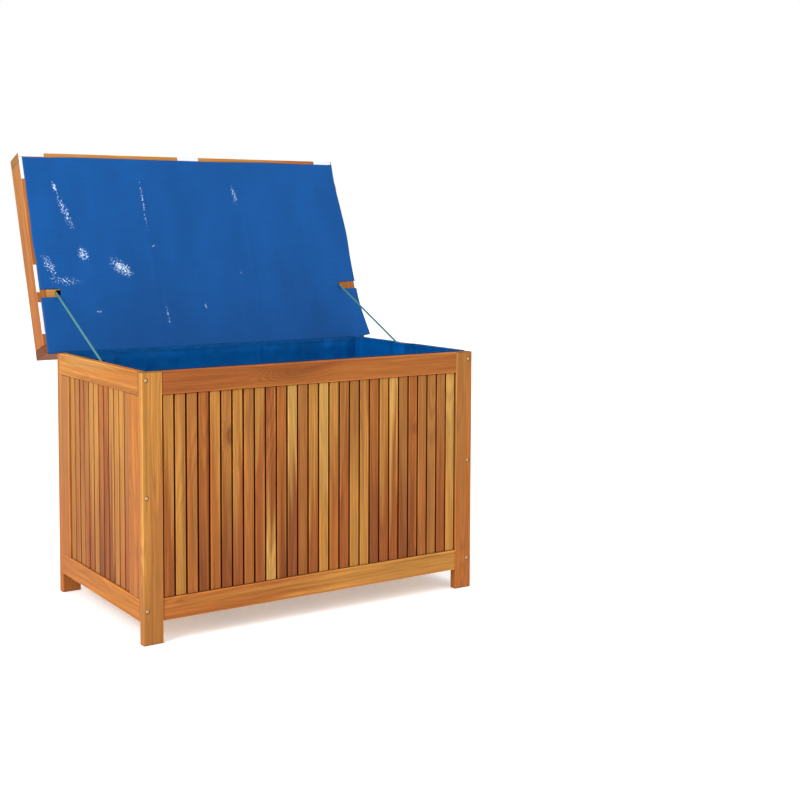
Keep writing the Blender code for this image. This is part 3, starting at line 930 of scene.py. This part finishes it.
# Painted glints: pale specks where light glances off the creases of the lid sheet.
LID_GLINTS = (
    (-0.309, -0.352, 0.020, 0.0060, 1.35, 1.30),
    (-0.293, -0.298, 0.062, 0.0130, 1.26, 0.75),
    (-0.268, -0.208, 0.026, 0.0180, 1.2, 1.0),
    (-0.188, -0.178, 0.042, 0.0200, 0.6, 1.35),
    (-0.343, -0.185, 0.044, 0.0170, 1.2, 0.70),
    (-0.312, -0.152, 0.056, 0.0140, 0.1, 0.66),
    (-0.118, -0.318, 0.080, 0.0045, 1.57, 0.72),
    (-0.108, -0.225, 0.010, 0.0050, 0.0, 0.9),
    (0.103, -0.340, 0.034, 0.0090, 1.5, 0.95),
    (-0.250, -0.085, 0.014, 0.0060, 0.0, 0.8),
    (-0.100, -0.075, 0.034, 0.0040, 1.5, 0.75),
    (-0.010, -0.090, 0.010, 0.0050, 1.5, 0.7),
    (0.090, -0.160, 0.010, 0.0050, 0.8, 0.65),
)
# Pale streaks near the top of the bag's rear wall, drawn like the lid's specks.
LINER_PALE_STREAKS = (
    (0.270, 0.470, 0.060, 0.0050, 0.0, 0.22),
    (0.420, 0.466, 0.050, 0.0040, 0.0, 0.18),
)
SHEET_THICK = 0.0005
SLIT_END = {-1: 0.3260, 1: 0.3305}
SLIT_NOTCH = 0.0070
SHEET_FOLDS = ((-0.117, 0.0016), (0.120, 0.0014), (-0.255, 0.0007), (0.280, 0.0008))


def rise(value, start, end):
    """0 before start, 1 after end, smooth in between."""
    t = min(1.0, max(0.0, (value - start) / (end - start)))
    return t * t * (3 - 2 * t)


def snapped(values, stops):
    """The values, with the one nearest to each stop moved onto it."""
    values = [float(value) for value in values]
    for stop in stops:
        nearest = min(range(len(values)), key=lambda i: abs(values[i] - stop))
        values[nearest] = stop
    return values


def lid_sheet_point(grid_x, grid_y, low, high, slit_y, front_batten):
    """Where a point of the flat grid lies on the sheet, which is slack between its held edges and battens."""

    def wave(t, seed):
        return noise.noise(Vector((t * 7.0, seed, 0.0))) * 0.0022

    width, depth = high[X] - low[X], high[Y] - low[Y]
    u, v = (grid_x - low[X]) / width, (grid_y - low[Y]) / depth
    loose_corner = max(0.0, (v - 0.70) / 0.30)
    x = grid_x + wave(v, 4.5) * ((1 - u) ** 8 - u**8)
    y = grid_y + wave(u, 1.5) * (1 - v) ** 8 + (0.0012 + wave(u, 8.5)) * v**12
    x += 0.0050 * rise(v, 0.12, 0.36) * u**16
    x += 0.0095 * loose_corner**1.3 * u**12
    y -= 0.0060 * loose_corner**3 * u**24
    rim = min(u * width, (1 - u) * width, v * depth, (1 - v) * depth)
    loose = min(1.0, max(0.0, (rim - 0.034) / 0.060))
    held = min(1.0, abs(grid_y - slit_y) / 0.055) * min(1.0, abs(grid_y - front_batten) / 0.055)
    bands = noise.noise(Vector((x * 9.0, y * 1.6, 2.0))) * 0.0036
    folds = noise.noise(Vector((x * 26.0 + y * 5.0, y * 5.0, 7.0))) * 0.0014
    small = noise.noise(Vector((x * 60.0, y * 34.0, 11.0))) * 0.00035
    for fold_x, deep in SHEET_FOLDS:
        bands -= deep * math.exp(-(((x - fold_x) / 0.005) ** 2))
    z = (low[Z] + high[Z]) / 2 + (bands + folds) * loose * (0.35 + 0.65 * held) + small
    z -= 0.0006 * loose + 0.0050 * loose_corner**2 * rise(x, 0.353, 0.380)
    z -= 0.0011 * rise(x, 0.3660, 0.3722)
    return x, y, z


def make_lid_sheet(sheet):
    """The sheet under the lid: nearly flat, slack between the strips, slit where the batten shows.

    Its rear right corner is loose: it sticks out past the lid's side and curls up a little.
    """
    low, high = local_box("lid_tarp")
    batten_low, batten_high = local_box("lid_cord_batten")
    front_batten = middle_of("lid_front_batten")[Y]
    slit_y = (batten_low[Y] + batten_high[Y]) / 2
    slit_half = (batten_high[Y] - batten_low[Y]) / 2 + 0.0004
    columns, rows = 190, 108
    stops = [sign * (SLIT_END[sign] + more) for sign in (-1, 1) for more in (0.0, SLIT_NOTCH)]
    xs = snapped(np.linspace(low[X], high[X], columns + 1), stops)
    ys = snapped(np.linspace(low[Y], high[Y], rows + 1), (slit_y - slit_half, slit_y + slit_half))
    points = [lid_sheet_point(x, y, low, high, slit_y, front_batten) for y in ys for x in xs]
    faces = []
    for j in range(rows):
        row_y = (ys[j] + ys[j + 1]) / 2 - slit_y
        for i in range(columns):
            column_x = (xs[i] + xs[i + 1]) / 2
            past = abs(column_x) - SLIT_END[1 if column_x > 0 else -1]
            if abs(row_y) < slit_half and past > (0.0 if row_y < 0.0035 else SLIT_NOTCH):
                continue
            faces.append(grid_quad(j, i, columns))
    piece = make_object("lid_sheet", points, faces, sheet)
    add_attribute(piece.data, "place", [(x, y, 0.0) for x, y, _ in points])
    clean = bmesh.new()
    clean.from_mesh(piece.data)
    bmesh.ops.delete(clean, geom=[v for v in clean.verts if not v.link_faces], context="VERTS")
    clean.to_mesh(piece.data)
    clean.free()
    modify(piece, "SOLIDIFY", thickness=SHEET_THICK, offset=0.0)
    applied(piece)
    place_piece(piece, "lid", "blue_tarp", "lid_tarp")


LINER_CORNER = 0.008
LINER_SPACING = 0.0045
CORNER_STEPS = 8
WALL_LEVELS = 64
HEM_STEPS = 3
FLOOR_STEPS = 7
FLOOR_ROUNDING = 0.010
STRIP_STEP = 0.0007


def liner_outline(half_x, half_y, radius):
    """Points round a rounded rectangle, anticlockwise from the middle of its right side."""
    stops = [Vector((half_x, 0.0))]
    for sx, sy, start in ((1, 1, 0.0), (-1, 1, 0.5), (-1, -1, 1.0), (1, -1, 1.5)):
        centre = Vector((sx * (half_x - radius), sy * (half_y - radius)))
        for i in range(CORNER_STEPS + 1):
            angle = math.pi * (start + 0.5 * i / CORNER_STEPS)
            stops.append(centre + radius * Vector((math.cos(angle), math.sin(angle))))
    points = []
    for a, b in zip(stops, stops[1:] + stops[:1]):
        steps = max(1, round((b - a).length / LINER_SPACING))
        points.extend(a.lerp(b, i / steps) for i in range(steps))
    return points


def make_liner(sheet):
    """An open bag that hangs inside the box: soft corners, creased walls, a slightly uneven top edge.

    Its hem laps over the right and rear rails, and it is pushed inward where each cord goes behind it.
    """
    low, high = local_box("liner_bag")
    middle = (low + high) / 2
    rim = local_box("post_front_left")[1][Z]
    half_x, half_y = (high[X] - low[X]) / 2 - 0.0003, (high[Y] - low[Y]) / 2 - 0.0003
    outline = liner_outline(half_x, half_y, LINER_CORNER)
    around = len(outline)
    cord_y = middle_of("cord_anchor_left")[Y] - middle[Y] + 0.012
    runs, outward = [0.0], []
    for k, point in enumerate(outline):
        along = (outline[(k + 1) % around] - outline[k - 1]).normalized()
        outward.append(Vector((along.y, -along.x)))
        if k:
            runs.append(runs[-1] + (point - outline[k - 1]).length)

    def cord_push(k):
        """1 where a cord goes behind the bag's edge, 0 away from it."""
        return math.exp(-(((outline[k].y - cord_y) / 0.024) ** 2)) * abs(outward[k].x) ** 4

    def edge_height(k):
        x, y = outline[k]
        crinkle = noise.noise(Vector((x * 55.0, y * 55.0, 6.0))) * 0.0003
        return rim + 0.0009 + noise.noise(Vector((x * 16.0, y * 16.0, 3.0))) * 0.0004 + crinkle

    def wall_point(k, z):
        point = outline[k]
        inward = 0.0
        if z - low[Z] < FLOOR_ROUNDING:
            drop = 1 - (z - low[Z]) / FLOOR_ROUNDING
            inward += FLOOR_ROUNDING * (1 - math.sqrt(max(0.0, 1 - drop * drop)))
        where = Vector((point.x * 9.0, point.y * 9.0, z * 3.0))
        crease = abs(noise.noise(where * 2.1 + Vector((5.0, 1.0, 0.0))))
        folds = noise.noise(where) * 0.0016 + 0.0016
        fine = abs(noise.noise(Vector((point.x * 40.0, point.y * 40.0, z * 22.0)))) * 0.0012
        below = rise(rim - z, 0.0, 0.02)
        inward += (folds + 0.0030 * max(0.0, 0.16 - crease) / 0.16) * (0.30 + 0.70 * below) + fine
        at_back = max(0.0, outward[k].y) ** 4
        crinkle = abs(noise.noise(Vector((point.x * 30.0, z * 45.0, 21.0)))) * 0.0045
        inward += crinkle * at_back * rise(z, rim - 0.035, rim - 0.010)
        inward += 0.0062 * cord_push(k) * rise(z, rim - 0.060, rim - 0.022)
        x = point.x * (1 - inward / half_x)
        y = point.y * (1 - inward / half_y) if abs(outward[k].y) > 0.02 else point.y
        return Vector((middle[X] + x, middle[Y] + y, z))

    points, places = [], []
    bottom = low[Z] + 0.0004
    base = [wall_point(k, bottom) - Vector((middle[X], middle[Y], 0.0)) for k in range(around)]
    for step in range(1, FLOOR_STEPS):
        for start in base:
            x, y = (middle[i] + start[i] * step / FLOOR_STEPS for i in (X, Y))
            ripple = abs(noise.noise(Vector((x * 14.0, y * 14.0, 9.0)))) * 0.0006
            points.append(Vector((x, y, low[Z] + 0.0002 + ripple)))
            places.append((x, y, 0.0))
    for level in range(WALL_LEVELS + 1):
        for k in range(around):
            z = bottom + (edge_height(k) - bottom) * level / WALL_LEVELS
            points.append(wall_point(k, z))
            places.append((runs[k], z, 0.0))
    for step in range(1, HEM_STEPS + 1):
        share = step / HEM_STEPS
        for k in range(around):
            clear = 1 - cord_push(k) ** 3
            reach = 0.0012 + 0.0130 * max(0.0, outward[k].x, outward[k].y) ** 2 * clear
            edge = wall_point(k, edge_height(k))
            side = outward[k] * reach * share
            level_z = rim + 0.0007 + (edge.z - rim - 0.0007) * (1 - share) ** 2
            points.append(Vector((edge.x + side.x, edge.y + side.y, level_z)))
            places.append((runs[k], edge.z + reach * share, 0.0))
    faces = [tuple(reversed(range(around))), *ring_faces(len(points) // around, around)]
    piece = make_object("liner_sheet", points, faces, sheet)
    add_attribute(piece.data, "place", places)
    modify(piece, "SOLIDIFY", thickness=SHEET_THICK, offset=-1.0)
    applied(piece)
    place_piece(piece, "box", "blue_tarp", "liner_bag")


def make_strips(tape):
    """Short strips of hook-and-loop tape between the sheet's edge and the lid's."""
    for node in sorted(name for name in NODES if name.startswith("strip_")):
        low, high = local_box(node)
        columns, rows = (max(6, round((high[i] - low[i]) / STRIP_STEP)) for i in (X, Y))
        below, above = [], []
        for j in range(rows + 1):
            for i in range(columns + 1):
                x = low[X] + (high[X] - low[X]) * i / columns
                y = low[Y] + (high[Y] - low[Y]) * j / rows
                fluff = noise.noise(Vector((x * 900.0, y * 900.0, 1.0))) * 0.00022
                soft = 0.0 if min(i, j, columns - i, rows - j) else 0.00035
                below.append((x, y, low[Z] + 0.0002 + soft + fluff))
                above.append((x, y, high[Z]))
        layer, across = len(below), columns + 1
        faces = []
        for j in range(rows):
            for i in range(columns):
                quad = grid_quad(j, i, columns)
                faces += [quad, tuple(layer + q for q in reversed(quad))]
        border = [*range(across), *range(2 * across - 1, layer, across)]
        border += [*range(layer - 2, layer - across - 1, -1), *range(layer - 2 * across, 0, -across)]
        faces += [(a, b, b + layer, a + layer) for a, b in zip(border, border[1:] + border[:1])]
        piece = make_object(f"{node}_tape", below + above, faces, tape)
        place_piece(piece, "lid", "white_strip", node)


# ---- cushion

CUSHION_INSET = (0.005, 0.005, 0.0025)
CLOTH_REACH = 0.006


def inflated(piece):
    """Blows a cushion up by a cloth simulation, and keeps each point within CLOTH_REACH of where it was."""
    start = np.array([vertex.co for vertex in piece.data.vertices])
    cloth = piece.modifiers.new("cloth", "CLOTH")
    cloth.settings.quality = 5
    cloth.settings.mass = 0.3
    cloth.settings.use_pressure = True
    cloth.settings.uniform_pressure_force = 4.0
    cloth.settings.effector_weights.gravity = 0.0
    for number in range(1, 21):
        bpy.context.scene.frame_set(number)
    applied(piece)
    travel = np.array([vertex.co for vertex in piece.data.vertices]) - start
    length = np.linalg.norm(travel, axis=1, keepdims=True)
    end = start + travel * np.minimum(1.0, CLOTH_REACH / np.maximum(length, 1e-9))
    piece.data.vertices.foreach_set("co", end.ravel())
    bpy.context.scene.frame_set(1)


def make_cushion(fabric):
    """The seat cushion, blown up a little and laid flat on the bag's floor."""
    low, high = local_box("cushion")
    middle = (low + high) / 2
    size = high - low - 2 * np.array(CUSHION_INSET)
    piece = make_object("seat_cushion", *rounded_block(size, 0.009, 4), fabric)
    modify(piece, "REMESH", mode="VOXEL", voxel_size=0.006, use_smooth_shade=True)
    applied(piece)
    inflated(piece)
    floor_level = low[Z] - middle[Z] + 0.0002
    for vertex in piece.data.vertices:
        x, y, z = vertex.co
        wave = noise.noise(Vector((x * 7.0, y * 2.0, 4.0))) * 0.0022
        vertex.co.z = max(z + wave * (0.5 + z / size[2]), floor_level)
    modify(piece, "SUBSURF", levels=1, render_levels=1)
    applied(piece)
    piece.data.transform(Matrix.Translation(middle))
    place_piece(piece, "cushion", "cream_fabric", "cushion")


# ---- make

make_camera()
braid = cord_material()
for cord_side, _ in SIDES:
    make_cord(cord_side, braid)

acacia = wood_material("acacia_frame_wood", highlight_and_wear=0.65)
slats = wood_material("acacia_slat_wood", gap_shade=0.80, dim=0.93)
make_posts_and_rails(acacia)
make_cord_batten(acacia)
make_panels(slats)
pine = softwood_material()
for pine_node, pine_along in PINE_BOARDS.items():
    plain_board(pine_node, pine_along, "yh", pine, slot="hidden_wood")

make_lid_sheet(sheet_material("lid_sheet_blue", BLUE_SHEET, LID_GLINTS))
make_liner(sheet_material("liner_blue", LINER_BLUE, LINER_PALE_STREAKS, 0.22, 0.05, bright_end=0.176, rim=0.472))
make_strips(tape_material())

zinc = metal_material()
for metal_node in NODES:
    if metal_node.startswith("hinge_"):
        NODES[metal_node].data.materials.clear()
        NODES[metal_node].data.materials.append(zinc)
make_screws(zinc)
make_anchors(zinc)
make_cushion(cushion_material())
make_studio()
